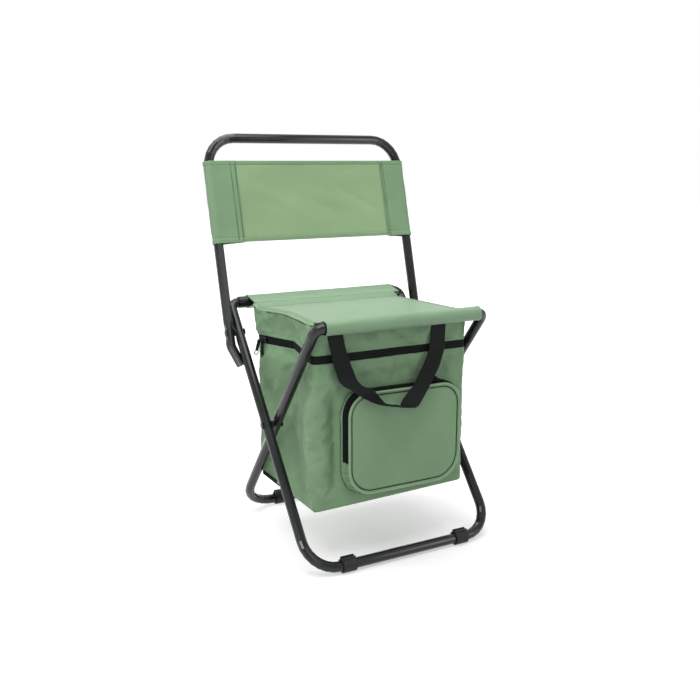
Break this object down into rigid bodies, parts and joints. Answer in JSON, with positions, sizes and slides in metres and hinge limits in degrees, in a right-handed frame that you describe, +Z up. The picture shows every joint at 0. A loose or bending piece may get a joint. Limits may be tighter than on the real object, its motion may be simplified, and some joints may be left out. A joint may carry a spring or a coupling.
{
  "type": "folding cooler stool",
  "caption": "Folding stool with crossed tube legs, a folding fabric backrest and a zipped cooler bag with a front pocket under its sling seat.",
  "frame": {"origin": "on the floor under the middle of the stool's bounding box", "axes": "+X right as seen from the front, +Y to the rear, where the backrest is, +Z up"},
  "size_m": [0.3594, 0.3353, 0.6076],
  "materials": {
    "frame_paint": "gloss black paint",
    "black_plastic": "moulded black plastic",
    "zip_metal": "grey metal zip slider",
    "green_cloth": "woven polyester, muted green",
    "pale_cloth": "woven polyester, lighter green",
    "foil_lining": "silver foil-faced foam",
    "base_board": "grey stiffening board",
    "black_tape": "black zip tape and binding",
    "black_webbing": "ribbed black webbing"
  },
  "bodies": {
    "outer_frame": {"outer_leg_tube": "frame_paint", "rear_seat_bar": "frame_paint", "front_left_foot_clip": "black_plastic", "front_right_foot_clip": "black_plastic", "left_backrest_rivet": "frame_paint", "right_backrest_rivet": "frame_paint", "left_backrest_washer": "black_plastic", "right_backrest_washer": "black_plastic"},
    "inner_frame": {"inner_leg_tube": "frame_paint", "front_seat_bar": "frame_paint", "rear_left_foot_clip": "black_plastic", "rear_right_foot_clip": "black_plastic", "left_leg_rivet": "frame_paint", "right_leg_rivet": "frame_paint", "left_leg_washer": "black_plastic", "right_leg_washer": "black_plastic"},
    "backrest": {"backrest_tube": "frame_paint", "back_panel_centre": "pale_cloth", "back_panel_left_pocket": "green_cloth", "back_panel_right_pocket": "green_cloth"},
    "cooler_bag": {"seat_panel": "green_cloth", "bag_body": "green_cloth", "bag_top_band": "green_cloth", "bag_lid_pad": "foil_lining", "bag_liner": "foil_lining", "bag_base_board": "base_board", "main_zip_tape": "black_tape", "bag_left_binding": "black_tape", "bag_right_binding": "black_tape", "pocket_gusset": "green_cloth", "pocket_face": "green_cloth", "pocket_zip_tape": "black_tape"},
    "front_sleeve": {"front_sleeve": "green_cloth"},
    "rear_sleeve": {"rear_sleeve": "green_cloth"},
    "main_zip_slider": {"main_zip_slider": "zip_metal"},
    "main_zip_pull": {"main_zip_pull": "black_plastic"},
    "pocket_zip_slider": {"pocket_zip_slider": "zip_metal"},
    "pocket_zip_pull": {"pocket_zip_pull": "black_plastic"},
    "carry_handle": {"carry_handle": "black_webbing"}
  },
  "joints": [
    {"name": "leg_fold", "type": "hinge", "parent": "outer_frame", "child": "inner_frame", "pos_m": [0, -0.01643, 0.18563], "axis": [-1, 0, 0], "range_deg": [0, 68]},
    {"name": "backrest_fold", "type": "hinge", "parent": "outer_frame", "child": "backrest", "pos_m": [0, 0.08201, 0.30843], "axis": [1, 0, 0], "range_deg": [0, 80]},
    {"name": "bag_swing", "type": "hinge", "parent": "outer_frame", "child": "cooler_bag", "pos_m": [0, -0.01643, 0.18563], "axis": [-1, 0, 0], "range_deg": [0, 34]},
    {"name": "front_sleeve_turn", "type": "hinge", "parent": "inner_frame", "child": "front_sleeve", "pos_m": [0, -0.14547, 0.349], "axis": [-1, 0, 0], "range_deg": [0, 54.4]},
    {"name": "rear_sleeve_turn", "type": "hinge", "parent": "outer_frame", "child": "rear_sleeve", "pos_m": [0, 0.11453, 0.349], "axis": [1, 0, 0], "range_deg": [0, 54.4]},
    {"name": "main_zip_slide", "type": "slide", "parent": "cooler_bag", "child": "main_zip_slider", "axis": [0.3285, -0.9445, 0], "range_m": [0, 0.05]},
    {"name": "main_zip_pull_swing", "type": "hinge", "parent": "main_zip_slider", "child": "main_zip_pull", "pos_m": [-0.13069, 0.0523, 0.2991], "axis": [-0.3285, 0.9445, 0], "range_deg": [0, 25]},
    {"name": "pocket_zip_slide", "type": "slide", "parent": "cooler_bag", "child": "pocket_zip_slider", "axis": [-1, 0, 0], "range_m": [0, 0.107]},
    {"name": "pocket_zip_pull_swing", "type": "hinge", "parent": "pocket_zip_slider", "child": "pocket_zip_pull", "pos_m": [0.0675, -0.12477, 0.2553], "axis": [0, 1, 0], "range_deg": [0, 120]},
    {"name": "handle_swing", "type": "hinge", "parent": "cooler_bag", "child": "carry_handle", "pos_m": [-0.013, -0.11787, 0.336], "axis": [-1, 0, 0], "range_deg": [0, 75]}
  ],
  "couplings": [
    {"joint": "bag_swing", "follows": "leg_fold", "ratio": 0.5},
    {"joint": "front_sleeve_turn", "follows": "leg_fold", "ratio": 0.8},
    {"joint": "rear_sleeve_turn", "follows": "leg_fold", "ratio": 0.8}
  ]
}
